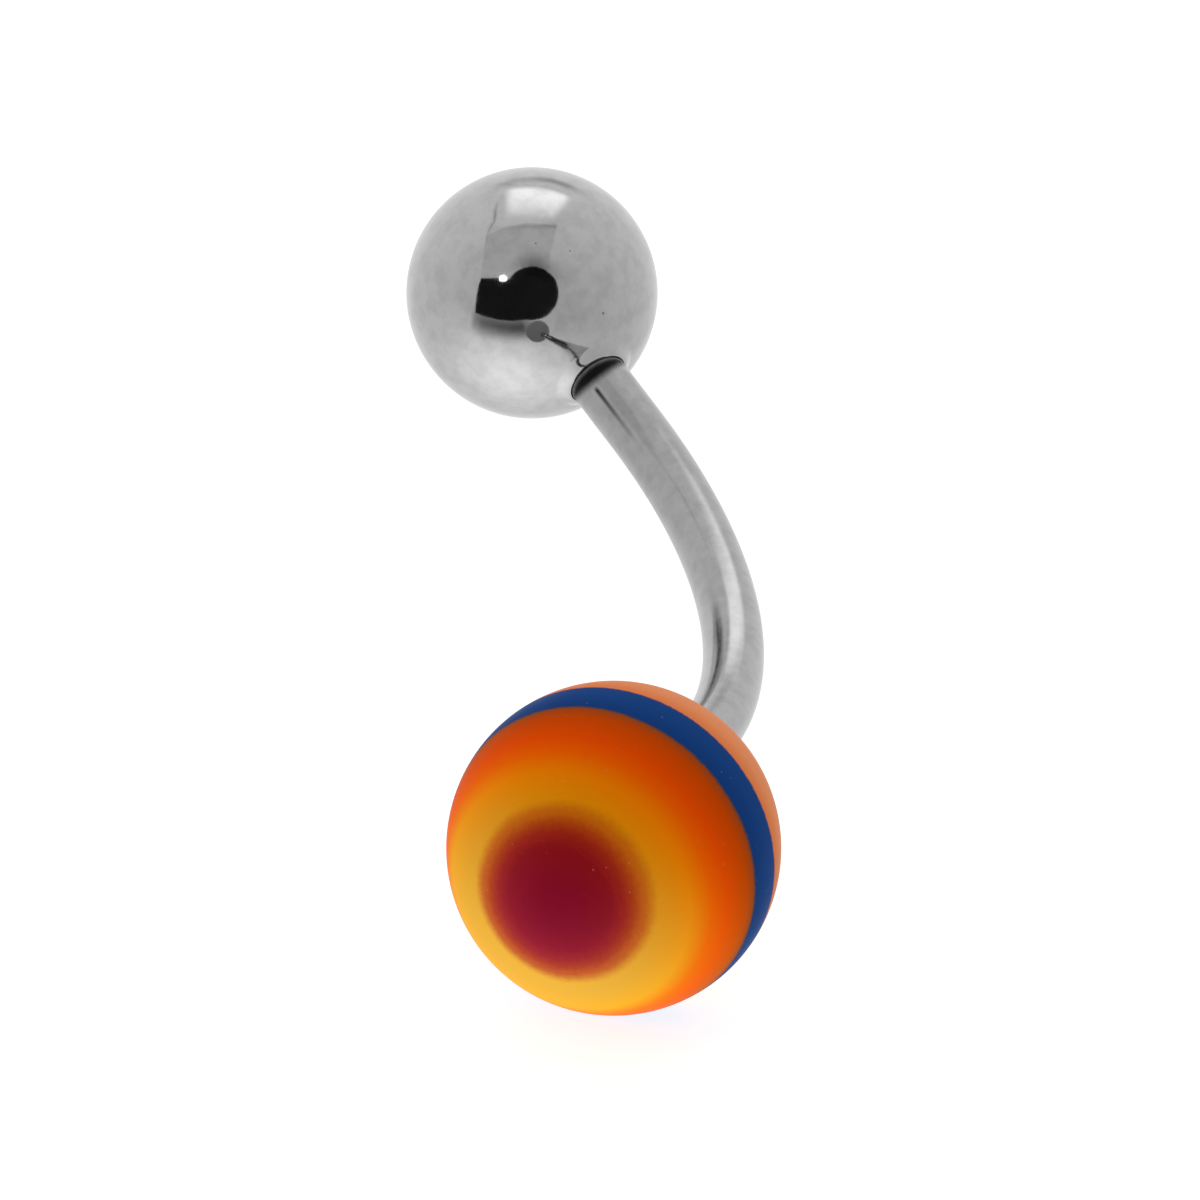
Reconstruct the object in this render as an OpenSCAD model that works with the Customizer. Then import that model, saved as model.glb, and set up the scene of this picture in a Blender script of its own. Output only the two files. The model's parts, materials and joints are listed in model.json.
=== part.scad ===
// Curved barbell: a bent steel shaft with a steel ball on one end and a larger acrylic ball on the other.
// The acrylic ball is cast in flat coloured layers and drilled roughly square to them.
// It lies as it rests by itself, on both balls and on the bend of the shaft.
// The origin is on that surface, under the middle of the barbell.
// +X runs from the steel ball to the acrylic ball, and the shaft bends out towards +Y.

/* [Shaft] */
// Diameter of the shaft
shaft_d = 1.45; // [1.35:0.05:1.6]
// Radius of the bend, to the middle of the shaft
bend_r = 12.8; // [11:0.1:15]
// Angle that the shaft bends through, in degrees
bend_angle = 57.6; // [50:0.2:64]
// Straight stretch of shaft at the steel ball, from the bend to the shoulder
steel_straight = 2.05; // [1:0.05:3]
// Straight stretch of shaft at the acrylic ball, from the bend to the shoulder
acrylic_straight = 4.2; // [3:0.05:5]
// Bevel on the shaft's shoulders
shoulder_bevel = 0.05; // [0.02:0.01:0.06]

/* [Studs] */
// Diameter of the plain stud that enters each ball
stud_d = 1.2; // [1:0.05:1.2]
// Length of each stud
stud_len = 2.6; // [2.2:0.1:3]
// Bevel on the tip of each stud
stud_bevel = 0.15; // [0.05:0.05:0.25]
// Room round a stud in its hole, on the radius
stud_room = 0.03; // [0.01:0.01:0.05]
// Room beyond a stud's tip
tip_room = 0.3; // [0.1:0.05:0.4]

/* [Balls] */
// Diameter of the steel ball
steel_ball_d = 6; // [5.6:0.1:6.6]
// Diameter of the acrylic ball
acrylic_ball_d = 7.8; // [7.2:0.1:8.6]
// Diameter of the recess that each shoulder sits in
mouth_d = 1.65; // [1.65:0.05:1.9]
// Depth of that recess below the ball's surface
mouth_depth = 0.35; // [0.25:0.05:0.5]
// Width of the bevel round each recess
mouth_bevel = 0.06; // [0.03:0.01:0.1]

/* [Acrylic layers] */
// Angle between the layers' axis and the hole, in degrees
layer_tilt = 7.6; // [0:0.2:12]
// Direction of that tilt round the hole, in degrees
layer_turn = -27; // [-180:1:180]
// Start of the crimson layer, as a share of the ball's radius in front of its centre
crimson_from = 0.905; // [0.85:0.005:0.95]
// Start of the yellow layer, as a share of the radius
yellow_from = 0.55; // [0.4:0.01:0.7]
// Start of the orange layer, as a share of the radius
orange_from = 0.17; // [0.1:0.01:0.3]
// Start of the blue layer, as a share of the radius, negative behind the centre
blue_from = -0.11; // [-0.2:0.01:0]

/* [Hidden] */
$fn = 96;

shaft_r = shaft_d / 2;
steel_r = steel_ball_d / 2;
acrylic_r = acrylic_ball_d / 2;
mouth_r = mouth_d / 2;
half_bend = bend_angle / 2;
beyond = 1;  // how far a cut runs past the ball it cuts
lap = 1;     // the two halves of the bend share this angle, which makes the shaft one solid

// The bend lies in the XY plane round its own centre, and bulges towards +Y.
steel_reach = steel_straight + steel_r - mouth_depth;
acrylic_reach = acrylic_straight + acrylic_r - mouth_depth;
steel_centre = bend_r * [-sin(half_bend), cos(half_bend)] - steel_reach * [cos(half_bend), sin(half_bend)];
acrylic_centre = bend_r * [sin(half_bend), cos(half_bend)] + acrylic_reach * [cos(half_bend), -sin(half_bend)];

// The line between the balls' centres, and the steel ball's place measured along and across it.
line = acrylic_centre - steel_centre;
span = norm(line);
skew = atan2(line.y, line.x);
along = (steel_centre * line) / span;
across = (steel_centre.y * line.x - steel_centre.x * line.y) / span;

// At rest the way down is [slope, fall] along and across the line, the rest of it out of the bend's plane.
// Balls of two sizes give slope. The bend and the steel ball reach equally low where
// drop + fall * across = bend_r * norm([slope, fall]), which is a quadratic in fall.
pitch = asin((acrylic_r - steel_r) / span);
slope = -sin(pitch);
drop = steel_r - shaft_r + slope * along;
spread = pow(bend_r, 2) - pow(across, 2);
root = sqrt(pow(drop * across, 2) + spread * (pow(drop, 2) - pow(bend_r * slope, 2)));
fall = (drop * across + root) / spread;
lean = atan2(sqrt(1 - pow(slope, 2) - pow(fall, 2)), fall) - 90;

// The box round the barbell at rest, measured from the steel ball's centre.
length_x = span * cos(pitch) + steel_r + acrylic_r;
bulge_y = (bend_r - across) * cos(lean) + shaft_r;
to_origin = [steel_r - length_x / 2, (acrylic_r - bulge_y) / 2, steel_r];

// Lays what is drawn round the bend's centre down on the surface.
module at_rest()
    translate(to_origin)
        rotate([lean, -pitch, 0])
            rotate([0, 0, -skew])
                translate([-steel_centre.x, -steel_centre.y, 0])
                    children();

// Each end starts at z = 0 where the bend stops, and points up, out of the bend and towards its ball.
module steel_end()
    rotate([0, 0, half_bend])
        translate([0, bend_r, 0])
            rotate([0, -90, 0])
                children();

module acrylic_end()
    rotate([0, 180, 0])
        steel_end() children();

// Half of the bend, a straight stretch of shaft, its shoulder and the stud beyond it.
module half_bar(straight) {
    translate([0, -bend_r, 0])
        rotate([-90, 0, 90])
            rotate_extrude(angle = half_bend + lap / 2)
                translate([bend_r, 0])
                    circle(d = shaft_d);
    cylinder(h = straight - shoulder_bevel, d = shaft_d);
    translate([0, 0, straight - shoulder_bevel])
        cylinder(h = shoulder_bevel, r1 = shaft_r, r2 = shaft_r - shoulder_bevel);
    translate([0, 0, straight - shoulder_bevel])
        cylinder(h = stud_len - stud_bevel + shoulder_bevel, d = stud_d);
    translate([0, 0, straight + stud_len - stud_bevel])
        cylinder(h = stud_bevel, r1 = stud_d / 2, r2 = stud_d / 2 - stud_bevel);
}

// The hole for a stud, the recess for the shoulder and the bevel round it, in a ball of radius ball_r.
// The shoulder's seat is at z = 0.
module stud_hole(ball_r) {
    rim_z = ball_r - mouth_depth - sqrt(pow(ball_r, 2) - pow(mouth_r, 2));
    cylinder(h = stud_len + tip_room, r = stud_d / 2 + stud_room);
    translate([0, 0, -beyond])
        cylinder(h = beyond, r = mouth_r);
    translate([0, 0, rim_z - mouth_bevel])
        cylinder(h = 2 * mouth_bevel, r1 = mouth_r + 2 * mouth_bevel, r2 = mouth_r);
}

module drilled_ball(ball_r)
    difference() {
        translate([0, 0, ball_r - mouth_depth])
            sphere(r = ball_r);
        stud_hole(ball_r);
    }

// The slice of the acrylic ball between two planes, given as shares of its radius.
module acrylic_layer(low, high)
    at_rest() acrylic_end() translate([0, 0, acrylic_straight])
        difference() {
            translate([0, 0, acrylic_r - mouth_depth])
                rotate([0, layer_tilt, layer_turn])
                    rotate_extrude()
                        intersection() {
                            circle(r = acrylic_r);
                            translate([0, low * acrylic_r])
                                square([acrylic_r + beyond, (high - low) * acrylic_r]);
                        }
            stud_hole(acrylic_r);
        }

module bar()
    color([0.70, 0.71, 0.72]) at_rest() {
        steel_end() half_bar(steel_straight);
        acrylic_end() half_bar(acrylic_straight);
    }

module steel_ball()
    color([0.74, 0.75, 0.76]) at_rest() steel_end() translate([0, 0, steel_straight])
        drilled_ball(steel_r);

module crimson_layer()
    color([0.50, 0.03, 0.13]) acrylic_layer(crimson_from, 1.1);

module yellow_layer()
    color([0.93, 0.66, 0.11]) acrylic_layer(yellow_from, crimson_from);

module orange_layer()
    color([0.87, 0.37, 0.06]) acrylic_layer(orange_from, yellow_from);

module blue_layer()
    color([0.10, 0.25, 0.45]) acrylic_layer(blue_from, orange_from);

module back_layer()
    color([0.91, 0.55, 0.32]) acrylic_layer(-1.1, blue_from);

bar();
steel_ball();
crimson_layer();
yellow_layer();
orange_layer();
blue_layer();
back_layer();
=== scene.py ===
# Curved barbell at rest on a pale light table: a polished steel bar between a steel ball and a larger ball
# of layered acrylic.
import json
import math

import bpy
import numpy as np
from mathutils import Matrix, Vector


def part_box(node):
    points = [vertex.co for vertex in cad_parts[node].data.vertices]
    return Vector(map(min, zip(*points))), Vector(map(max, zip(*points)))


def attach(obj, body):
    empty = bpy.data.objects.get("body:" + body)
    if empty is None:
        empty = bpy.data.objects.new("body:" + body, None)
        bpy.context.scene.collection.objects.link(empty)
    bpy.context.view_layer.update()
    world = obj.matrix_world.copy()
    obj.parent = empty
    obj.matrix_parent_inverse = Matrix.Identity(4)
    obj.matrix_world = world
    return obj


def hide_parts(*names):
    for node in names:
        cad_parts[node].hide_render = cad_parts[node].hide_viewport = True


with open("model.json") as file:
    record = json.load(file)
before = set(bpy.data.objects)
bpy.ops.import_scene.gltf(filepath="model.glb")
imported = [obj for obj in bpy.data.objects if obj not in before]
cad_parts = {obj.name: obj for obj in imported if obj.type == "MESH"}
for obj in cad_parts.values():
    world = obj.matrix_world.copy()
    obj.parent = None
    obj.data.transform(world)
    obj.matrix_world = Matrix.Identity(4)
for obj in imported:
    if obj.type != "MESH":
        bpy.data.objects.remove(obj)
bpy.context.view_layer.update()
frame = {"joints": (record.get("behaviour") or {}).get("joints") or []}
scene = bpy.context.scene
mm = 0.001  # metres


# Directions and places that the solids already hold

def unit(v):
    v = np.asarray(v, float)
    return v / np.linalg.norm(v, axis=-1, keepdims=True)


def middleOf(*nodes):
    corners = np.array([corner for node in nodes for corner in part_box(node)])
    return (corners.min(0) + corners.max(0)) / 2


layerNodes = ["crimson_layer", "yellow_layer", "orange_layer", "blue_layer", "back_layer"]
steelCentre = middleOf("steel_ball")
acrylicCentre = middleOf(*layerNodes)
slideAway = {joint["child"]: unit(joint["axis"]) for joint in frame["joints"]}
leaveSteel = -slideAway["steel_ball"]  # the bar's direction where it leaves the steel ball
enterAcrylic = slideAway["acrylic_ball"]  # and where it enters the acrylic one
acrossBend = unit(np.cross(leaveSteel, enterAcrylic))
skin = 0.005 * mm  # the solids' facets lie this far inside the true surfaces, and so does each piece
crispFrom = math.radians(50)  # edges that turn by more than this stay crisp


# Surfaces

# Rings carried along a path. Each point is the ring's centre plus its radius times (cos u * sideways +
# sin u * upwards), with both directions square to the ring's axis. The first and last ring have no radius,
# and close the surface in one point each. Faces point outwards where the rings advance along their axes.
def ringSurface(name, centres, axes, radii, columns):
    sideways = unit(np.cross(acrossBend, axes))
    upwards = np.cross(axes, sideways)
    turn = np.linspace(0, 2 * np.pi, columns, endpoint=False)[None, :, None]
    circles = np.cos(turn) * sideways[:, None] + np.sin(turn) * upwards[:, None]
    rings = (centres[:, None] + radii[:, None, None] * circles)[1:-1]
    points = np.concatenate([centres[:1], rings.reshape(-1, 3), centres[-1:]])
    column = np.arange(columns)
    beside = (column + 1) % columns
    start = 1 + np.arange(len(rings) - 1)[:, None] * columns
    quads = np.stack([start + column, start + beside, start + beside + columns, start + column + columns], -1)
    lastRing = 1 + (len(rings) - 1) * columns
    firstFan = np.stack([0 * column, 1 + beside, 1 + column], -1)
    lastFan = np.stack([0 * column + len(points) - 1, lastRing + column, lastRing + beside], -1)
    faces = quads.reshape(-1, 4).tolist() + firstFan.tolist() + lastFan.tolist()
    mesh = bpy.data.meshes.new(name)
    mesh.from_pydata(points.tolist(), [], faces)
    mesh.shade_smooth()
    mesh.set_sharp_from_angle(angle=crispFrom)
    piece = bpy.data.objects.new(name, mesh)
    scene.collection.objects.link(piece)
    return piece


# A profile through corners given as (distance along, radius). A short curve of second degree rounds each
# corner, and the rows of each straight stretch crowd towards its ends.
def roundedProfile(corners, rounding, rowLength, curveRows=6, fewestRows=5):
    corners = np.array(corners, float)
    inner = corners[1:-1]
    starts = inner + rounding * unit(corners[:-2] - inner)
    ends = inner + rounding * unit(corners[2:] - inner)
    t = np.linspace(0, 1, curveRows)[None, :, None]
    curves = (1 - t) ** 2 * starts[:, None] + 2 * t * (1 - t) * inner[:, None] + t ** 2 * ends[:, None]
    lineStarts = np.concatenate([corners[:1], ends])
    lineEnds = np.concatenate([starts, corners[-1:]])
    rows = [max(fewestRows, int(n)) for n in np.linalg.norm(lineEnds - lineStarts, axis=1) / rowLength]
    shares = [(1 - np.cos(np.linspace(0, np.pi, n)))[:, None] / 2 for n in rows]
    lines = [a + share * (b - a) for a, b, share in zip(lineStarts, lineEnds, shares)]
    # the first and last row of a line are already there where it meets a curve
    lines = [lines[0][:-1]] + [line[1:-1] for line in lines[1:-1]] + [lines[-1][1:]]
    return np.concatenate([part for pair in zip(lines, curves) for part in pair] + [lines[-1]])


acrylicMouth = {  # the drilled end of a ball
    "radius": 0.825 * mm,
    "depth": 0.35 * mm,
    "bevel": 0.06 * mm,
    "holeRadius": 0.63 * mm,
    "holeDepth": 2.9 * mm,
    "rounding": 0.014 * mm,
    "rowLength": 0.1 * mm,
}
steelMouth = {  # a closer and sharper one
    **acrylicMouth,
    "radius": 0.737 * mm,
    "bevel": 0.015 * mm,
    "rounding": 0.006 * mm,
}


# The mouth's profile from the ball's surface to the bottom of the hole, as (distance from the ball's centre
# towards the mouth, radius). The bevel is at 45 degrees, so it leaves the ball where s ** 2 + (s + k) ** 2
# is the ball's radius squared. The profile starts a little before that, at an angle that is returned too.
def mouthProfile(ballRadius, mouth):
    rim = math.sqrt(ballRadius ** 2 - mouth["radius"] ** 2)
    k = mouth["radius"] + mouth["bevel"] - rim
    leaves = (math.sqrt(2 * ballRadius ** 2 - k ** 2) - k) / 2
    seat = ballRadius - mouth["depth"]
    startAngle = math.atan2(leaves + k, leaves) + 2 * mouth["rounding"] / ballRadius
    corners = [
        (ballRadius * math.cos(startAngle), ballRadius * math.sin(startAngle)),
        (leaves, leaves + k),
        (rim - mouth["bevel"], mouth["radius"]),
        (seat, mouth["radius"]),
        (seat, mouth["holeRadius"]),
        (seat - mouth["holeDepth"], mouth["holeRadius"]),
        (seat - mouth["holeDepth"], 0),
    ]
    return roundedProfile(corners, mouth["rounding"], mouth["rowLength"]), startAngle


bar = {
    "radius": 0.725 * mm - skin,
    "bendRadius": 12.8 * mm,
    "shoulderBevel": 0.05 * mm,
    "studRadius": 0.6 * mm,
    "studLength": 2.6 * mm,
    "studBevel": 0.15 * mm,
    "rounding": 0.012 * mm,
    "rowLength": 0.12 * mm,
    "columns": 144,
}
steelBall = {
    "radius": 3.0 * mm - skin,
    "rows": 150,
    "lipRows": 60,
    "lipAngle": 0.45,  # radians from the mouth's middle, over which the rows are closer
    "lipReach": 1.08 * mm,  # the lip swells from this radius inwards
    "lipWidth": 0.30 * mm,
    "lipHeight": 0.10 * mm,
    "columns": 300,
}
acrylicBall = {
    "radius": 3.9 * mm - skin,
    "axis": unit((0.863596, -0.453546, 0.220221)),  # square to the flat layers
    # where each layer's back cut lies along that axis, as a share of the radius
    "starts": {"crimson_layer": 0.905, "yellow_layer": 0.55, "orange_layer": 0.17, "blue_layer": -0.11},
    "cutRings": (0, 0.4, 0.8, 0.98),  # shares of a cut's own radius
    "rowAngle": math.radians(0.9),
    "columns": 300,
}


# The bar's middle line: straight out of the steel ball, round one arc, and straight into the acrylic ball.
# The two straight lines would meet in a corner, and the arc leaves each one bendRadius * tan(half the bend)
# before it. The shaft's profile, given by corners of (distance, radius), is carried along that line.
def buildBar():
    steelSeat = steelCentre + leaveSteel * (steelBall["radius"] + skin - steelMouth["depth"])
    acrylicSeat = acrylicCentre - enterAcrylic * (acrylicBall["radius"] + skin - acrylicMouth["depth"])
    bend = math.acos(leaveSteel @ enterAcrylic)
    runs = np.stack([leaveSteel, enterAcrylic], 1)
    toCorner = np.linalg.lstsq(runs, acrylicSeat - steelSeat, rcond=None)[0]
    straight = toCorner[0] - bar["bendRadius"] * math.tan(bend / 2)
    length = toCorner.sum() + bar["bendRadius"] * (bend - 2 * math.tan(bend / 2))
    tip = length + bar["studLength"]
    slim = bar["radius"] - bar["shoulderBevel"]
    profile = roundedProfile([
        (-bar["studLength"], 0),
        (-bar["studLength"], bar["studRadius"] - bar["studBevel"]),
        (-bar["studLength"] + bar["studBevel"], bar["studRadius"]),
        (0, bar["studRadius"]),
        (0, slim),
        (bar["shoulderBevel"], bar["radius"]),
        (length - bar["shoulderBevel"], bar["radius"]),
        (length, slim),
        (length, bar["studRadius"]),
        (tip - bar["studBevel"], bar["studRadius"]),
        (tip, bar["studRadius"] - bar["studBevel"]),
        (tip, 0),
    ], bar["rounding"], bar["rowLength"])
    inwards = np.cross(acrossBend, leaveSteel)
    beyondStraight = profile[:, :1] - straight
    angle = np.clip(beyondStraight / bar["bendRadius"], 0, bend)
    before = np.minimum(beyondStraight, 0)
    after = np.maximum(beyondStraight - bar["bendRadius"] * bend, 0)
    bendCentre = steelSeat + straight * leaveSteel + bar["bendRadius"] * inwards
    onArc = bar["bendRadius"] * (np.sin(angle) * leaveSteel - np.cos(angle) * inwards)
    centres = bendCentre + onArc + before * leaveSteel + after * enterAcrylic
    axes = np.cos(angle) * leaveSteel + np.sin(angle) * inwards
    piece = ringSurface("bar_polished", centres, axes, profile[:, 1], bar["columns"])
    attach(piece, "bar")
    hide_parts("bar")
    return piece


# A ball turned about its hole: circles on the ball from the far pole to the bevel, then the mouth's profile.
# The lip swells: points near the mouth move outwards by lipHeight times a smooth step of their radius, and
# those in the mouth by less the deeper they are.
def buildSteelBall():
    radius, lipAngle = steelBall["radius"], steelBall["lipAngle"]
    mouth, startAngle = mouthProfile(radius, steelMouth)
    angle = np.concatenate([
        np.linspace(math.pi, lipAngle, steelBall["rows"], endpoint=False),
        np.linspace(lipAngle, startAngle, steelBall["lipRows"], endpoint=False)])
    profile = np.concatenate([radius * np.stack([np.cos(angle), np.sin(angle)], 1), mouth])
    near = np.clip((steelBall["lipReach"] - profile[:, 1]) / steelBall["lipWidth"], 0, 1)
    seat = radius - steelMouth["depth"]
    rim = math.sqrt(radius ** 2 - steelMouth["radius"] ** 2)
    above = np.clip((profile[:, 0] - seat) / (rim - seat), 0, 1)
    profile[:, 0] += steelBall["lipHeight"] * near ** 2 * (3 - 2 * near) * above
    centres = steelCentre + profile[:, :1] * leaveSteel
    axes = np.broadcast_to(leaveSteel, centres.shape)
    piece = ringSurface("steel_ball_polished", centres, axes, profile[:, 1], steelBall["columns"])
    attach(piece, "steel_ball")
    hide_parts("steel_ball")
    return piece


# One layer of the acrylic ball, between two cuts square to the layers' axis at high and low, as shares of the
# ball's radius. Its rings start in the middle of the front cut, spread over it, run back over the ball, and
# close over the back cut. The back layer has no back cut: its rings turn on the way from the layers' axis to
# the hole's, and then follow the mouth's profile.
def buildLayer(node, high, low):
    centre, radius, axis = acrylicCentre, acrylicBall["radius"], acrylicBall["axis"]
    spread = np.array(acrylicBall["cutRings"])[:, None]
    drilled = node == "back_layer"
    profile, startAngle = mouthProfile(radius, acrylicMouth)
    first = math.acos(high)
    last = math.pi - startAngle if drilled else math.acos(low)
    rows = int((last - first) / acrylicBall["rowAngle"])
    angle = np.linspace(first, last, rows, endpoint=not drilled)[:, None]
    share = (angle - first) / (last - first) if drilled else 0 * angle
    axes = unit(-axis - share * (enterAcrylic - axis))
    centres = centre - radius * np.cos(angle) * axes
    radii = radius * np.sin(angle)
    if high < 1:
        centres = np.concatenate([centre + radius * high * axis + 0 * spread, centres])
        radii = np.concatenate([radii[0] * spread, radii])
        axes = np.concatenate([0 * spread - axis, axes])
    if drilled:
        centres = np.concatenate([centres, centre - profile[:, :1] * enterAcrylic])
        radii = np.concatenate([radii, profile[:, 1:]])
        axes = np.concatenate([axes, 0 * profile[:, :1] - enterAcrylic])
    else:
        centres = np.concatenate([centres, centre + radius * low * axis + 0 * spread])
        radii = np.concatenate([radii, radii[-1] * spread[::-1]])
        axes = np.concatenate([axes, 0 * spread - axis])
    name = node.replace("layer", "acrylic")
    piece = ringSurface(name, centres, axes, radii[:, 0], acrylicBall["columns"])
    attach(piece, "acrylic_ball")
    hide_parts(node)
    return piece


# Materials

# An sRGB hex colour as the linear one that a shader takes, with full alpha.
def linear(hexCode):
    srgb = np.array([int(hexCode[i:i + 2], 16) for i in (1, 3, 5)]) / 255
    return [*np.where(srgb <= 0.04045, srgb / 12.92, ((srgb + 0.055) / 1.055) ** 2.4), 1]


# Inputs are values, or the sockets to link from, by a node's names or numbers for its own sockets.
def setInputs(tree, node, inputs):
    for name, value in inputs.items():
        if isinstance(value, bpy.types.NodeSocket):
            tree.links.new(value, node.inputs[name])
        else:
            node.inputs[name].default_value = value


# Settings are the node's own properties. Stops fill a colour ramp, which starts with two.
def addNode(tree, kind, settings=None, inputs=None, stops=None):
    node = tree.nodes.new(kind)
    for name, value in (settings or {}).items():
        setattr(node, name, value)
    setInputs(tree, node, inputs or {})
    for i, (position, colour) in enumerate(stops or []):
        element = node.color_ramp.elements[i] if i < 2 else node.color_ramp.elements.new(position)
        element.position = position
        element.color = linear(colour)
    return node


def newMaterial(name):
    material = bpy.data.materials.new(name)
    material.use_nodes = True
    return material, material.node_tree


def perMetre(sizeInMm):
    return 1000 / sizeInMm  # a texture's scale for features of this size


# Surgical stainless steel, turned, bent and then buffed. To the eye: neutral grey, sharp reflections on the
# ball and softer ones on the bar, a faint cloudiness and ripple from the wheel, a few hairlines, and a
# painted sheen that lightens the colour at a slant. Dark pits, and the painted shade and painted reflection
# on the bar, are dull.
buffedSteel = {
    "ballColours": ("#B9B9B9", "#C4C4C4"),  # where it is cloudy, and where it is clear
    "barColours": ("#A9A9A9", "#B4B4B4"),
    "ballSheen": (0.5, 0.95, 0.15),  # painted sheen: the slants where it starts and is full, and the share that it adds to the colour
    "barSheen": (0.4, 0.95, 0.2),
    "cloudSize": 0.4,  # mm, as all sizes and heights here
    "cloudColourAt": (0.35, 0.6),  # levels of the cloud noise for the two colours
    "cloudRoughnessAt": (0.3, 0.7),  # and for the two roughnesses
    "ballRoughness": (0.045, 0.085),
    "barRoughness": (0.15, 0.19),
    "rippleSize": 0.36,
    "ballRipple": 0.0018,
    "barRipple": 0.0012,
    "hairlineSize": 0.09,
    "hairlineStretch": (1, 0.06, 1),  # a hairline runs along the second axis, once turned
    "hairlineTurn": (0.4, 0.3, 0.9),
    "hairlineHeight": 0.00012,
    # the colour and roughness of the pits, and of the painted shade and painted dark reflection on the bar
    "pitAndPaintedShadeColour": "#242424",
    "pitAndPaintedShadeRoughness": 0.55,
}
# Painted shade round the bar just outside the steel ball, where it enters the mouth. It ends at a plane
# across the bar that leans, so the line is widest on one side. All in mm from the ball's centre.
paintedMouthShade = {
    "start": (3.03, 0.12),  # where it starts, and half the stretch over which it thickens
    "end": (3.12, 0.15),  # the same where the leaning plane crosses the bar's middle line
    "lean": 0.43,
    "widest": unit((0.43, -0.28, 0.86)),
    "ragSize": 0.12,
    "rag": 0.04,
}
# A painted dark reflection along the bar from the painted shade, in mm. It fades towards its far end.
paintedDarkReflection = {
    "from": (3.434, 1.201, -0.502),  # from the ball's centre
    "start": (-0.1, 0.05),  # along the bar from there, where it starts and is full
    "length": 2.0,
    "halfWidth": 0.09,
}
# Pits that the buff left in the ball.
pits = {
    "places": [  # in mm from the ball's centre, each with its radius
        ((2.386, 1.568, 0.921), 0.036),
        ((-0.05, 2.791, 1.10), 0.03),
        ((1.545, 0.147, 2.567), 0.024),
        ((1.656, 0.936, 2.32), 0.022)],
    "wall": (1.5, 0.4),  # a pit darkens between these shares of its radius
    "darkness": 0.6,
}


# How much of the bar's surface is painted dark, from 0 to 1: by the painted shade between its two planes, or
# by the painted dark reflection.
def paintedShadeOnBar(tree, place):
    look = paintedMouthShade
    fromCentre = addNode(tree, "ShaderNodeVectorMath", {"operation": "SUBTRACT"}, {
        0: place, 1: steelCentre}).outputs["Vector"]
    rag = addNode(tree, "ShaderNodeTexNoise", inputs={
        "Vector": place, "Scale": perMetre(look["ragSize"]), "Detail": 2}).outputs["Fac"]
    mark = 1
    # beyond the first plane, and not yet at the second, which leans
    planes = (
        (leaveSteel, look["start"], 1),
        (leaveSteel - look["lean"] * look["widest"], look["end"], -1))
    for square, (edge, softness), side in planes:
        along = addNode(tree, "ShaderNodeVectorMath", {"operation": "DOT_PRODUCT"}, {
            0: fromCentre, 1: square}).outputs["Value"]
        ragged = addNode(tree, "ShaderNodeMath", {"operation": "MULTIPLY_ADD"}, {
            0: rag, 1: look["rag"] * mm, 2: along}).outputs[0]
        middle = edge + look["rag"] / 2
        inside = addNode(tree, "ShaderNodeMapRange", {"interpolation_type": "SMOOTHSTEP"}, {
            "Value": ragged, "From Min": (middle - side * softness) * mm,
            "From Max": (middle + side * softness) * mm}).outputs["Result"]
        mark = addNode(tree, "ShaderNodeMath", {"operation": "MULTIPLY"}, {0: inside, 1: mark}).outputs[0]
    # the painted dark reflection's depth falls with the distance from its line, and along it
    fromDarkReflection = addNode(tree, "ShaderNodeVectorMath", {"operation": "SUBTRACT"}, {
        0: fromCentre, 1: np.array(paintedDarkReflection["from"]) * mm}).outputs["Vector"]
    across = addNode(tree, "ShaderNodeVectorMath", {"operation": "CROSS_PRODUCT"}, {
        0: fromDarkReflection, 1: leaveSteel}).outputs["Vector"]
    across = addNode(tree, "ShaderNodeVectorMath", {"operation": "LENGTH"}, {0: across}).outputs["Value"]
    beside = addNode(tree, "ShaderNodeMapRange", {"interpolation_type": "SMOOTHSTEP"}, {
        "Value": across, "From Min": paintedDarkReflection["halfWidth"] * mm, "From Max": 0}).outputs["Result"]
    along = addNode(tree, "ShaderNodeVectorMath", {"operation": "DOT_PRODUCT"}, {
        0: fromDarkReflection, 1: leaveSteel}).outputs["Value"]
    started = addNode(tree, "ShaderNodeMapRange", inputs={
        "Value": along, "From Min": paintedDarkReflection["start"][0] * mm,
        "From Max": paintedDarkReflection["start"][1] * mm}).outputs["Result"]
    kept = addNode(tree, "ShaderNodeMapRange", inputs={
        "Value": along, "From Min": paintedDarkReflection["length"] * mm, "From Max": 0}).outputs["Result"]
    line = addNode(tree, "ShaderNodeMath", {"operation": "MULTIPLY"}, {0: beside, 1: started}).outputs[0]
    line = addNode(tree, "ShaderNodeMath", {"operation": "MULTIPLY"}, {0: line, 1: kept}).outputs[0]
    return addNode(tree, "ShaderNodeMath", {"operation": "MAXIMUM"}, {0: mark, 1: line}).outputs[0]


# The same for the ball: a pit's darkness, by the distance from its middle.
def markOnBall(tree, place):
    rim, floor = pits["wall"]
    mark = 0
    for spot, radius in pits["places"]:
        away = addNode(tree, "ShaderNodeVectorMath", {"operation": "DISTANCE"}, {
            0: place, 1: steelCentre + np.array(spot) * mm}).outputs["Value"]
        inside = addNode(tree, "ShaderNodeMapRange", {"interpolation_type": "SMOOTHSTEP"}, {
            "Value": away, "From Min": rim * radius * mm, "From Max": floor * radius * mm,
            "To Max": pits["darkness"]}).outputs["Result"]
        mark = addNode(tree, "ShaderNodeMath", {"operation": "MAXIMUM"}, {0: inside, 1: mark}).outputs[0]
    return mark


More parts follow.
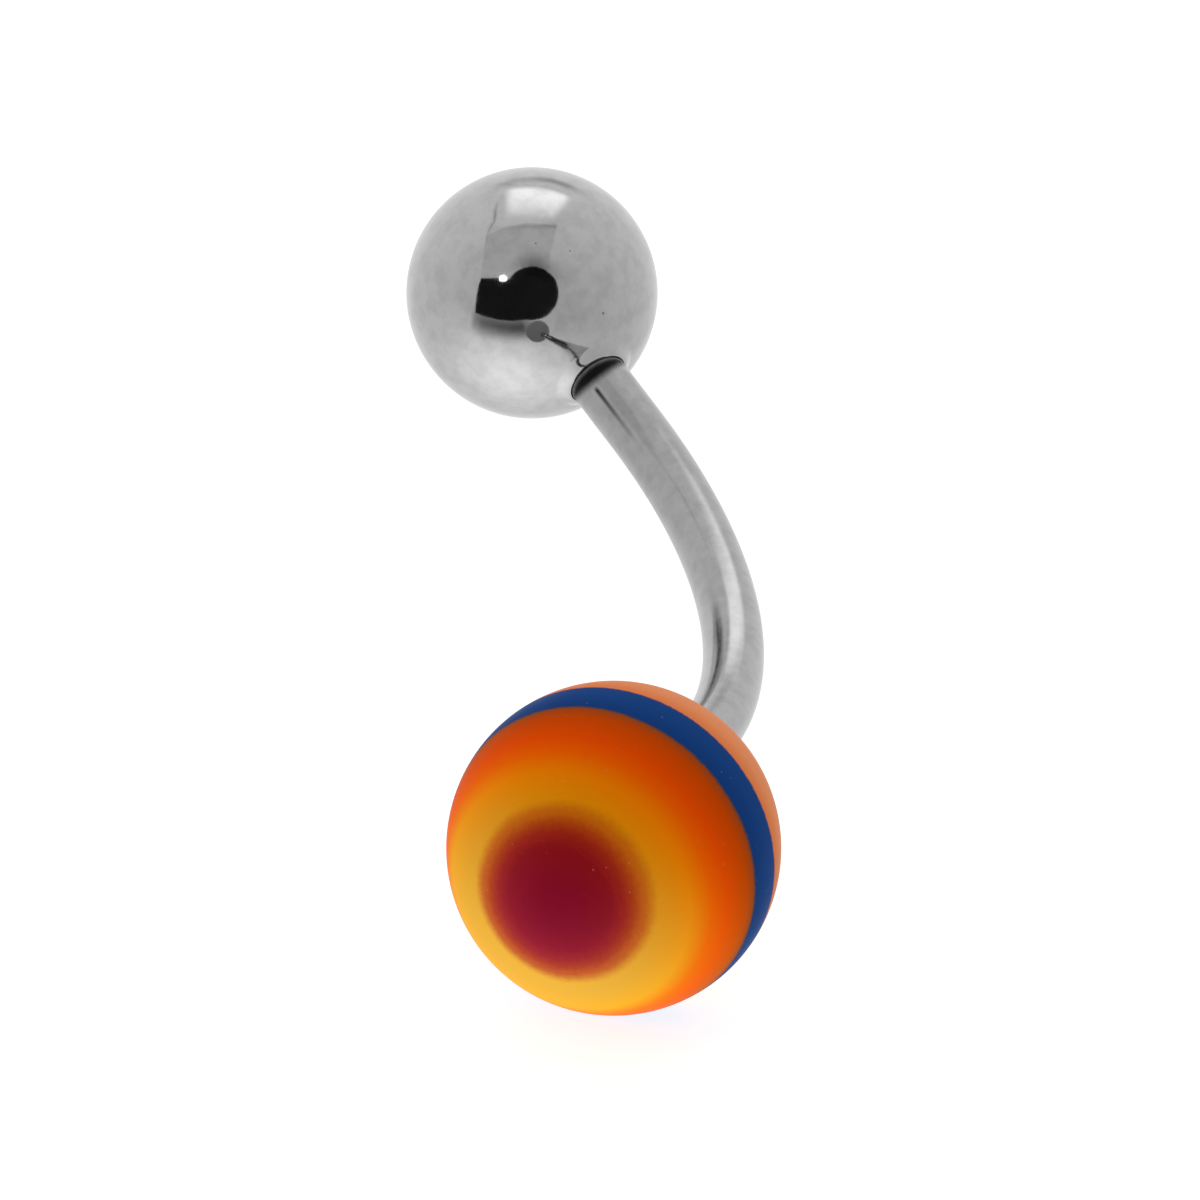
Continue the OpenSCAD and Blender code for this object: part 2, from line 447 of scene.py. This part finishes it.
# Piece is "bar" or "ball", and picks that one's numbers.
def makeBuffedSteel(piece, addDarkening):
    look = buffedSteel
    cloudy, clear = look[piece + "Colours"]
    slantFrom, slantTo, gain = look[piece + "Sheen"]
    smoothest, roughest = look[piece + "Roughness"]
    material, tree = newMaterial("buffed surgical steel, " + piece)
    place = addNode(tree, "ShaderNodeTexCoord").outputs["Object"]
    # the pits on the ball; on the bar, the painted shade at the mouth and the painted dark reflection
    mark = addDarkening(tree, place)
    cloud = addNode(tree, "ShaderNodeTexNoise", inputs={
        "Vector": place, "Scale": perMetre(look["cloudSize"]), "Detail": 3, "Roughness": 0.6}).outputs["Fac"]
    clean = addNode(tree, "ShaderNodeValToRGB", inputs={"Fac": cloud}, stops=[
        *zip(look["cloudColourAt"], (cloudy, clear))]).outputs["Color"]
    # painted sheen: the base colour is made lighter towards a slant
    slant = addNode(tree, "ShaderNodeLayerWeight").outputs["Facing"]
    paintedSheen = addNode(tree, "ShaderNodeMapRange", {"interpolation_type": "SMOOTHSTEP"}, {
        "Value": slant, "From Min": slantFrom, "From Max": slantTo, "To Min": 1,
        "To Max": 1 + gain}).outputs["Result"]
    clean = addNode(tree, "ShaderNodeVectorMath", {"operation": "SCALE"}, {
        0: clean, "Scale": paintedSheen}).outputs["Vector"]
    colour = addNode(tree, "ShaderNodeMix", {"data_type": "RGBA"}, {
        0: mark, 6: clean, 7: linear(look["pitAndPaintedShadeColour"])}).outputs[2]
    polish = addNode(tree, "ShaderNodeMapRange", inputs={
        "Value": cloud, "From Min": look["cloudRoughnessAt"][0], "From Max": look["cloudRoughnessAt"][1],
        "To Min": smoothest, "To Max": roughest}).outputs["Result"]
    rough = addNode(tree, "ShaderNodeMix", {"data_type": "FLOAT"}, {
        0: mark, 2: polish, 3: look["pitAndPaintedShadeRoughness"]}).outputs[0]
    ripple = addNode(tree, "ShaderNodeTexNoise", inputs={
        "Vector": place, "Scale": perMetre(look["rippleSize"]), "Detail": 1}).outputs["Fac"]
    stretched = addNode(tree, "ShaderNodeMapping", inputs={
        "Vector": place, "Rotation": look["hairlineTurn"],
        "Scale": look["hairlineStretch"]}).outputs["Vector"]
    hairline = addNode(tree, "ShaderNodeTexNoise", inputs={
        "Vector": stretched, "Scale": perMetre(look["hairlineSize"]), "Detail": 4,
        "Roughness": 0.7}).outputs["Fac"]
    normal = addNode(tree, "ShaderNodeBump", inputs={
        "Height": ripple, "Distance": look[piece + "Ripple"] * mm}).outputs["Normal"]
    normal = addNode(tree, "ShaderNodeBump", inputs={
        "Height": hairline, "Distance": look["hairlineHeight"] * mm, "Normal": normal}).outputs["Normal"]
    setInputs(tree, tree.nodes["Principled BSDF"], {
        "Base Color": colour, "Metallic": 1, "Roughness": rough, "Normal": normal})
    return material


# Acrylic cast in coloured layers, turned to a ball and tumbled to a dull satin. To the eye: deep colours that
# run softly into each other at the front, where the layers are thin, and crisply at the blue; painted light
# that makes the side facing down paler; hardly a highlight; a fine grain, and small faint specks of tumbling
# grit.
castAcrylic = {
    # colours along the layers' axis, as (share of the radius, colour), on the ball's upper and lower side;
    # the lower side's colours hold painted light from below
    "upper": [
        (-0.26, "#F29460"), (-0.12, "#F0844A"), (-0.106, "#1A4686"), (0.0, "#1A468A"), (0.158, "#164082"),
        (0.168, "#64442E"), (0.18, "#A44A1C"), (0.25, "#D24A00"), (0.42, "#F65000"), (0.52, "#FC6200"),
        (0.64, "#F88200"), (0.80, "#E28E04")],
    "lower": [
        (-0.26, "#F4A070"), (-0.12, "#F0844A"), (-0.106, "#2A5494"), (0.0, "#264E90"), (0.158, "#204888"),
        (0.168, "#6E5034"), (0.18, "#B45A24"), (0.25, "#DE640A"), (0.42, "#FF6A0C"), (0.52, "#FC7C10"),
        (0.64, "#F4AE24"), (0.80, "#E4AC3A")],
    "dotAxis": unit((0.8668, -0.3945, 0.3140)),  # the crimson lies a little off the layers' axis
    "dotEdge": (0.808, 0.866),  # between these shares, the dot's own colours take over
    # the crimson's colours, also with painted light on the lower side
    "dotUpper": [
        (0.865, "#C9660A"), (0.89, "#B2450B"), (0.915, "#9E260D"), (0.945, "#88120F"), (1, "#7A0912")],
    "dotLower": [
        (0.865, "#BE5A2E"), (0.89, "#AD402B"), (0.915, "#A02D32"), (0.945, "#922034"), (1, "#841334")],
    # along this direction the painted light runs from the lower colours to the upper ones
    "upwards": unit((0, 0.35, 0.94)),
    "sides": (-1.95, 3.1),  # mm that way from the middle, between the lower colours and the upper ones
    "waveSize": 1.6,  # mm, as all sizes, heights and spacings here
    "waveShare": 0.014,  # of the radius
    "ragSize": 0.13,
    "ragShare": 0.018,
    "roughness": (0.3, 0.4),
    "grainSize": 0.07,
    "grainHeight": 0.0016,
    "dentSize": 0.9,
    "dentHeight": 0.004,
    "speckColour": "#E8B898",
    "speckSpacing": 0.28,
    "speckShare": 0.08,  # its radius, as a share of the spacing
    "speckChance": (0.7, 0.8),  # below the first it doesn't show, and above the second it shows in full
    "speckStrength": 0.16,
    "ior": 1.49,
    "specular": 0.005,
}


def makeCastAcrylic():
    look = castAcrylic
    material, tree = newMaterial("cast layered acrylic")
    place = addNode(tree, "ShaderNodeTexCoord").outputs["Object"]
    fromCentre = addNode(tree, "ShaderNodeVectorMath", {"operation": "SUBTRACT"}, {
        0: place, 1: acrylicCentre}).outputs["Vector"]

    # the layers are not quite flat, and their edges are a little ragged
    wave = addNode(tree, "ShaderNodeTexNoise", inputs={
        "Vector": place, "Scale": perMetre(look["waveSize"]), "Detail": 1}).outputs["Fac"]
    rag = addNode(tree, "ShaderNodeTexNoise", inputs={
        "Vector": place, "Scale": perMetre(look["ragSize"]), "Detail": 3}).outputs["Fac"]
    level = -(look["waveShare"] + look["ragShare"]) / 2
    uneven = addNode(tree, "ShaderNodeMath", {"operation": "MULTIPLY_ADD"}, {
        0: wave, 1: look["waveShare"], 2: level}).outputs[0]
    uneven = addNode(tree, "ShaderNodeMath", {"operation": "MULTIPLY_ADD"}, {
        0: rag, 1: look["ragShare"], 2: uneven}).outputs[0]

    # how far along each axis through the ball's centre, as a share of its radius
    shares = []
    for axis in (acrylicBall["axis"], look["dotAxis"]):
        along = addNode(tree, "ShaderNodeVectorMath", {"operation": "DOT_PRODUCT"}, {
            0: fromCentre, 1: axis / acrylicBall["radius"]}).outputs["Value"]
        shares.append(addNode(tree, "ShaderNodeMath", {"operation": "ADD"}, {0: along, 1: uneven}).outputs[0])

    # painted light: the lower colours give way to the upper ones further up the ball
    height = addNode(tree, "ShaderNodeVectorMath", {"operation": "DOT_PRODUCT"}, {
        0: fromCentre, 1: look["upwards"]}).outputs["Value"]
    upwards = addNode(tree, "ShaderNodeMapRange", {"interpolation_type": "SMOOTHSTEP"}, {
        "Value": height, "From Min": look["sides"][0] * mm,
        "From Max": look["sides"][1] * mm}).outputs["Result"]
    # each pair of ramps holds the colours of the lower side, with its painted light, and of the upper side,
    # from share -1 to 1
    colours = []
    for share, pair in zip(shares, (("lower", "upper"), ("dotLower", "dotUpper"))):
        onRamp = addNode(tree, "ShaderNodeMapRange", inputs={
            "Value": share, "From Min": -1, "From Max": 1}).outputs["Result"]
        lower, upper = [addNode(tree, "ShaderNodeValToRGB", inputs={"Fac": onRamp}, stops=[
            ((at + 1) / 2, colour) for at, colour in look[side]]).outputs["Color"] for side in pair]
        colours.append(addNode(tree, "ShaderNodeMix", {"data_type": "RGBA"}, {
            0: upwards, 6: lower, 7: upper}).outputs[2])
    dot = addNode(tree, "ShaderNodeMapRange", {"interpolation_type": "SMOOTHSTEP"}, {
        "Value": shares[1], "From Min": look["dotEdge"][0], "From Max": look["dotEdge"][1]}).outputs["Result"]
    colour = addNode(tree, "ShaderNodeMix", {"data_type": "RGBA"}, {
        0: dot, 6: colours[0], 7: colours[1]}).outputs[2]

    # a speck sits in some of the cells of a Voronoi pattern, picked by the cell's own random colour
    cells = addNode(tree, "ShaderNodeTexVoronoi", inputs={
        "Vector": place, "Scale": perMetre(look["speckSpacing"])})
    inSpeck = addNode(tree, "ShaderNodeMath", {"operation": "LESS_THAN"}, {
        0: cells.outputs["Distance"], 1: look["speckShare"]}).outputs[0]
    chance = addNode(tree, "ShaderNodeSeparateColor", inputs={"Color": cells.outputs["Color"]}).outputs["Red"]
    picked = addNode(tree, "ShaderNodeMapRange", inputs={
        "Value": chance, "From Min": look["speckChance"][0], "From Max": look["speckChance"][1],
        "To Max": look["speckStrength"]}).outputs["Result"]
    speck = addNode(tree, "ShaderNodeMath", {"operation": "MULTIPLY"}, {0: inSpeck, 1: picked}).outputs[0]
    colour = addNode(tree, "ShaderNodeMix", {"data_type": "RGBA"}, {
        0: speck, 6: colour, 7: linear(look["speckColour"])}).outputs[2]

    dents = addNode(tree, "ShaderNodeTexNoise", inputs={
        "Vector": place, "Scale": perMetre(look["dentSize"]), "Detail": 2}).outputs["Fac"]
    grain = addNode(tree, "ShaderNodeTexNoise", inputs={
        "Vector": place, "Scale": perMetre(look["grainSize"]), "Detail": 2}).outputs["Fac"]
    rough = addNode(tree, "ShaderNodeMapRange", inputs={
        "Value": dents, "To Min": look["roughness"][0], "To Max": look["roughness"][1]}).outputs["Result"]
    normal = addNode(tree, "ShaderNodeBump", inputs={
        "Height": dents, "Distance": look["dentHeight"] * mm}).outputs["Normal"]
    normal = addNode(tree, "ShaderNodeBump", inputs={
        "Height": grain, "Distance": look["grainHeight"] * mm, "Normal": normal}).outputs["Normal"]
    setInputs(tree, tree.nodes["Principled BSDF"], {
        "Base Color": colour, "Roughness": rough, "Normal": normal, "IOR": look["ior"],
        "Specular IOR Level": look["specular"]})
    return material


# The pieces

steelBar = buildBar()
steelBar.data.materials.append(makeBuffedSteel("bar", paintedShadeOnBar))
ball = buildSteelBall()
ball.data.materials.append(makeBuffedSteel("ball", markOnBall))
print("bar and steel ball are made")

acrylic = makeCastAcrylic()
lows = list(acrylicBall["starts"].values()) + [-1]
highs = [1] + lows[:-1]
layers = [buildLayer(node, high, low) for node, high, low in zip(layerNodes, highs, lows)]
for layer in layers:
    layer.data.materials.append(acrylic)
print("acrylic ball is made of", len(layers), "layers")


# Studio: a white table, and a pale tent all round that glows most from low at the front. In the tent hang
# cards that show in reflections: the dark opening that the camera looks through, a black panel with a lamp in
# it, a grey panel overhead, and black gauze. Directions are (degrees round from +X, degrees above the table),
# seen from the steel ball, and the distances from it are in metres.

studio = {
    "tableGlow": 0.82,
    "tableColour": "#C4C4C4",
    "tableHalf": 1.5,  # half its side, in metres
    "tent": 0.70,  # radiance
    "tentSide": 0.16,  # more of it towards -X, and less towards +X
    "lowGlow": 0.74,
    "lowGlowFrom": (-30, -46),
    "lowGlowPower": 3.3,  # the higher, the narrower
    "backdrop": 1.0,
    "cardColour": "#212121",
}
opening = {"at": (-2, 35.8), "halfAngle": 24.6, "distance": 0.4}
blackPanel = {
    "corners": [(-65, 37), (-57, 9), (-44, 9.5), (-20, 10.5), (-8, 12), (0, 30), (-26, 47), (-49, 44)],
    "distance": 0.39,
}
lamp = {"at": (-39.2, 45.9), "halfAngle": 3.1, "distance": 0.38, "glow": 5}
greyPanel = {
    "corners": [
        (-113, 57), (114, 63.6), (33, 59.5), (27, 49), (0, 42), (-26, 43), (-49, 40), (-64.5, 36.5),
        (-77, 48)],
    "distance": 0.45,
    "glow": 0.57,
}
# Strips of black gauze, each along a way of directions with how dark it is there: below the soft box on the
# balls, from its side to the grey panel, along that panel's far edge, above the opening, and below the black
# panel.
gauzeStrips = [
    {"halfAngle": 9, "distance": 0.37, "way": [
        (-170, 28, 0), (-175, 19, 0.39), (180, 15.5, 0.24), (174, 15.5, 0.3), (168, 14, 0.47), (163, 14, 0.5),
        (158, 14.5, 0.42), (154, 14.5, 0.22), (148, 13.5, 0)]},
    {"halfAngle": 2, "distance": 0.36, "way": [
        (-164, 38, 0), (-152, 49, 0.35), (-145, 54, 0.5), (-138, 57, 0.35), (-122, 57.5, 0.3),
        (-113, 57, 0.2), (-95, 55, 0)]},
    {"halfAngle": 4, "distance": 0.35, "way": [
        (-119, 57, 0.05), (-136, 74.4, 0.1), (135, 78, 0.15), (118, 66, 0.25), (113, 63.6, 0.35)]},
    {"halfAngle": 17, "distance": 0.39, "way": [
        (-24, 53, 0), (-15, 58.5, 0.4), (-2, 60.4, 0.6), (12, 58.5, 0.6), (24, 52.2, 0.35), (29, 40.3, 0.1),
        (28, 30, 0)]},
    {"halfAngle": 18, "distance": 0.43, "way": [
        (-61, 4, 0), (-57, 4, 0.5), (-50, 4, 0.72), (-38, 4, 0.8), (-24, 4, 0.83), (-13, 5, 0.85),
        (-6, 7, 0.5), (0, 9, 0)]},
]
greyDouble = {
    "glow": 0.17,
    "inside": 0.02 * mm,  # it is this much smaller than the ball
    "columns": 96,
    "rows": 49,
}
# Soft boxes: the direction and distance of each from the origin, its width and height in metres, its
# radiance, how bright its upper edge is beside its lower, and how far its rim fades. Each is linked to the
# pieces that it lights.
boxFadesFrom = 0.35  # the share of a box's height above which it fades towards its upper edge
softBoxes = {
    "soft box on balls": {
        "at": (168, 50), "size": (0.37, 0.44), "distance": 0.5, "radiance": 0.75, "upper": 0.1,
        "rim": 0.2, "lights": [ball, *layers], "reflected": True},
    "soft box on bar": {
        "at": (165, 31), "size": (0.30, 0.36), "distance": 0.5, "radiance": 0.78, "upper": 0.1,
        "rim": 0.2, "lights": [steelBar], "reflected": True},
    "fill on acrylic": {
        "at": (-35, -12), "size": (0.4, 0.4), "distance": 0.6, "radiance": 3.9, "upper": 1,
        "rim": 0.1, "lights": layers, "reflected": False},
}
photoCamera = {
    "azimuth": 88.11,  # degrees, round from the -Y side
    "elevation": 36.77,
    "roll": -5.10,
    "distance": 780.76 * mm,
    "aim": (0.066 * mm, 0.334 * mm, 2.785 * mm),
    "lens": 995.69,
    "nearest": 0.01,
    "farthest": 10,
}


def towards(azimuth, elevation):
    a, e = math.radians(azimuth), math.radians(elevation)
    return Vector((math.cos(a) * math.cos(e), math.sin(a) * math.cos(e), math.sin(e)))


def placeCamera():
    data = bpy.data.cameras.new("camera")
    data.lens = photoCamera["lens"]
    data.clip_start = photoCamera["nearest"]
    data.clip_end = photoCamera["farthest"]
    camera = bpy.data.objects.new("camera", data)
    back = towards(photoCamera["azimuth"] - 90, photoCamera["elevation"])
    roll = Matrix.Rotation(math.radians(photoCamera["roll"]), 3, "Z")
    turned = back.to_track_quat("Z", "Y").to_matrix() @ roll
    camera.matrix_world = Matrix.LocRotScale(
        Vector(photoCamera["aim"]) + back * photoCamera["distance"], turned.to_quaternion(), None)
    scene.collection.objects.link(camera)
    scene.camera = camera


# A flat or folded sheet of the studio, through corners in metres. Each face lists its corners.
def addSheet(name, corners, faces, material):
    mesh = bpy.data.meshes.new(name)
    mesh.from_pydata([list(corner) for corner in corners], [], faces)
    mesh.materials.append(material)
    sheet = bpy.data.objects.new(name, mesh)
    scene.collection.objects.link(sheet)
    return sheet


# A sheet seen only in reflections. Its corners lie in these directions, all at one distance from the steel
# ball, and it is one face unless faces are given.
def addCard(name, directions, material, distance, faces=None):
    corners = [Vector(steelCentre) + direction.normalized() * distance for direction in directions]
    card = addSheet(name, corners, faces or [range(len(corners))], material)
    card.visible_camera = False
    return card


# The corners of a disc: its middle direction plus tan(angle) * (cos u * sideways + sin u * upwards).
def discAround(middle, angle, corners=48):
    turned = middle.to_track_quat("Z", "Y")
    spread = math.tan(math.radians(angle))
    return [turned @ Vector((spread * math.cos(u), spread * math.sin(u), 1))
            for u in np.linspace(0, 2 * math.pi, corners, endpoint=False)]


def plainCloth(name, colour):
    material, tree = newMaterial(name)
    setInputs(tree, tree.nodes["Principled BSDF"], {
        "Base Color": linear(colour), "Roughness": 1, "Specular IOR Level": 0})
    return material


def glowingCloth(name, glow):
    material, tree = newMaterial(name)
    light = addNode(tree, "ShaderNodeEmission", inputs={"Strength": glow}).outputs["Emission"]
    tree.links.new(light, tree.nodes["Material Output"].inputs["Surface"])
    material.cycles.emission_sampling = "NONE"
    return material


# Black gauze, as dense as its own "dark" says along its middle, and open at its sides, where "across" is 1.
def blackGauze():
    material, tree = newMaterial("black gauze")
    across = addNode(tree, "ShaderNodeAttribute", {"attribute_name": "across"}).outputs["Fac"]
    across = addNode(tree, "ShaderNodeMath", {"operation": "ABSOLUTE"}, {0: across}).outputs[0]
    dense = addNode(tree, "ShaderNodeMapRange", {"interpolation_type": "SMOOTHSTEP"}, {
        "Value": across, "From Min": 1, "From Max": 0}).outputs["Result"]
    dark = addNode(tree, "ShaderNodeAttribute", {"attribute_name": "dark"}).outputs["Fac"]
    dense = addNode(tree, "ShaderNodeMath", {"operation": "MULTIPLY"}, {0: dense, 1: dark}).outputs[0]
    clear = addNode(tree, "ShaderNodeBsdfTransparent").outputs["BSDF"]
    thread = addNode(tree, "ShaderNodeEmission", inputs={"Strength": 0}).outputs["Emission"]
    both = addNode(tree, "ShaderNodeMixShader", inputs={0: dense, 1: clear, 2: thread}).outputs["Shader"]
    tree.links.new(both, tree.nodes["Material Output"].inputs["Surface"])
    return material


# A strip is a ribbon along its way: each point is the middle direction plus or minus tan(halfAngle) times the
# side, which is square to the way there.
def hangGauze(strip, material):
    middles = [towards(azimuth, elevation) for azimuth, elevation, dark in strip["way"]]
    sides = [a.cross(b).normalized() for a, b in zip(middles[:-1], middles[1:])]
    sides.append(sides[-1])
    spread = math.tan(math.radians(strip["halfAngle"]))
    rims = [middle + sign * spread * side for sign in (-1, 1) for middle, side in zip(middles, sides)]
    count = len(middles)
    faces = [(i, i + 1, i + 1 + count, i + count) for i in range(count - 1)]
    card = addCard("gauze", rims, material, strip["distance"], faces)
    across = np.repeat([-1.0, 1.0], count)
    darkness = [dark for azimuth, elevation, dark in strip["way"]] * 2
    for name, values in (("across", across), ("dark", darkness)):
        card.data.attributes.new(name, "FLOAT", "POINT").data.foreach_set("value", values)
    return card


def hangCards():
    black = plainCloth("black cloth", studio["cardColour"])
    hole = discAround(towards(*opening["at"]), opening["halfAngle"])
    addCard("opening", hole, black, opening["distance"])
    beside = [towards(*corner) for corner in blackPanel["corners"]]
    addCard("black panel", beside, black, blackPanel["distance"])
    glass = discAround(towards(*lamp["at"]), lamp["halfAngle"])
    above = [towards(*corner) for corner in greyPanel["corners"]]
    cards = [
        addCard("lamp", glass, glowingCloth("lamp glass", lamp["glow"]), lamp["distance"]),
        addCard("grey panel", above, glowingCloth("grey cloth", greyPanel["glow"]), greyPanel["distance"])]
    gauze = blackGauze()
    cards += [hangGauze(strip, gauze) for strip in gauzeStrips]
    for card in cards:
        card.visible_diffuse = card.visible_shadow = False


# The real steel shows the acrylic ball as plain dark grey. So the acrylic isn't reflected, and a grey double
# in its place is. Its points are the centre plus the radius times (cos u * sin v, sin u * sin v, cos v).
def addDouble():
    for layer in layers:
        layer.visible_glossy = False
    columns, rows = greyDouble["columns"], greyDouble["rows"]
    u = np.linspace(0, 2 * np.pi, columns, endpoint=False)[:, None]
    v = np.linspace(0, np.pi, rows)
    directions = np.stack([np.cos(u) * np.sin(v), np.sin(u) * np.sin(v), np.cos(v) + 0 * u], -1)
    radius = acrylicBall["radius"] - greyDouble["inside"]
    points = (acrylicCentre + radius * directions).reshape(-1, 3)
    start = rows * np.arange(columns)[:, None] + np.arange(rows - 1)
    beside = np.roll(start, -1, 0)
    faces = np.stack([start, start + 1, beside + 1, beside], -1).reshape(-1, 4).tolist()
    # the double's glow is a painted reflection: the dark grey that the steel shows of the acrylic ball
    cloth = glowingCloth("painted reflection of the acrylic ball", greyDouble["glow"])
    double = addSheet("grey double", points, faces, cloth)
    double.data.shade_smooth()
    double.visible_camera = double.visible_diffuse = double.visible_shadow = False
    double.visible_transmission = False
    double.parent = layers[0]  # it moves with the ball


def hangSoftBoxes():
    for name, look in softBoxes.items():
        light = bpy.data.lights.new(name, "AREA")
        light.shape = "RECTANGLE"
        light.size, light.size_y = look["size"]
        light.energy = look["radiance"] * math.pi * light.size * light.size_y
        light.use_nodes = True
        tree = light.node_tree
        onBox = addNode(tree, "ShaderNodeNewGeometry").outputs["Parametric"]
        sides = addNode(tree, "ShaderNodeSeparateXYZ", inputs={"Vector": onBox})
        strength = addNode(tree, "ShaderNodeMapRange", {"interpolation_type": "SMOOTHSTEP"}, {
            "Value": sides.outputs["Y"], "From Min": boxFadesFrom, "From Max": 1, "To Min": 1,
            "To Max": look["upper"]}).outputs["Result"]
        for axis in ("X", "Y"):
            inwards = addNode(tree, "ShaderNodeMath", {"operation": "PINGPONG"}, {
                0: sides.outputs[axis], 1: 0.5}).outputs[0]
            soft = addNode(tree, "ShaderNodeMapRange", {"interpolation_type": "SMOOTHSTEP"}, {
                "Value": inwards, "From Min": 0, "From Max": look["rim"]}).outputs["Result"]
            strength = addNode(tree, "ShaderNodeMath", {"operation": "MULTIPLY"}, {
                0: strength, 1: soft}).outputs[0]
        tree.links.new(strength, tree.nodes["Emission"].inputs["Strength"])
        box = bpy.data.objects.new(name, light)
        direction = towards(*look["at"])
        box.matrix_world = Matrix.LocRotScale(
            direction * look["distance"], direction.to_track_quat("Z", "Y"), None)
        box.visible_camera = False
        box.visible_glossy = look["reflected"]
        scene.collection.objects.link(box)
        lit = bpy.data.collections.new(name)
        for piece in look["lights"]:
            lit.objects.link(piece)
        box.light_linking.receiver_collection = lit


def layTable():
    material, tree = newMaterial("white table")
    setInputs(tree, tree.nodes["Principled BSDF"], {
        "Base Color": linear(studio["tableColour"]), "Roughness": 0.9, "Specular IOR Level": 0,
        "Emission Color": (1, 1, 1, 1), "Emission Strength": studio["tableGlow"]})
    material.cycles.emission_sampling = "NONE"
    half = studio["tableHalf"]
    corners = [(-half, -half, 0), (half, -half, 0), (half, half, 0), (-half, half, 0)]
    table = addSheet("table", corners, [range(4)], material)
    # the tent's own low glow stands for the light that comes up through the table
    table.visible_glossy = table.visible_diffuse = table.visible_shadow = False


# The tent is the world. Its radiance is the tent's own, less tentSide for each unit towards +X, plus the low
# glow times its cosine to the direction that it comes from, to a power. The camera sees the plain backdrop.
def pitchTent():
    world = bpy.data.worlds.new("tent")
    scene.world = world
    world.use_nodes = True
    tree = world.node_tree
    tree.nodes.clear()
    direction = addNode(tree, "ShaderNodeTexCoord").outputs["Generated"]
    side = addNode(tree, "ShaderNodeVectorMath", {"operation": "DOT_PRODUCT"}, {
        0: direction, 1: (-studio["tentSide"], 0, 0)}).outputs["Value"]
    glow = addNode(tree, "ShaderNodeMath", {"operation": "ADD"}, {0: side, 1: studio["tent"]}).outputs[0]
    low = addNode(tree, "ShaderNodeVectorMath", {"operation": "DOT_PRODUCT"}, {
        0: direction, 1: towards(*studio["lowGlowFrom"])}).outputs["Value"]
    low = addNode(tree, "ShaderNodeMath", {"operation": "MAXIMUM"}, {0: low, 1: 0}).outputs[0]
    low = addNode(tree, "ShaderNodeMath", {"operation": "POWER"}, {
        0: low, 1: studio["lowGlowPower"]}).outputs[0]
    glow = addNode(tree, "ShaderNodeMath", {"operation": "MULTIPLY_ADD"}, {
        0: low, 1: studio["lowGlow"], 2: glow}).outputs[0]
    tent = addNode(tree, "ShaderNodeBackground", inputs={
        "Color": (1, 1, 1, 1), "Strength": glow}).outputs["Background"]
    behind = addNode(tree, "ShaderNodeBackground", inputs={
        "Color": (1, 1, 1, 1), "Strength": studio["backdrop"]}).outputs["Background"]
    seen = addNode(tree, "ShaderNodeLightPath").outputs["Is Camera Ray"]
    both = addNode(tree, "ShaderNodeMixShader", inputs={0: seen, 1: tent, 2: behind}).outputs["Shader"]
    addNode(tree, "ShaderNodeOutputWorld", inputs={"Surface": both})


placeCamera()
hangCards()
addDouble()
hangSoftBoxes()
layTable()
pitchTent()
scene.view_settings.view_transform = "Standard"
print("camera and studio are up")
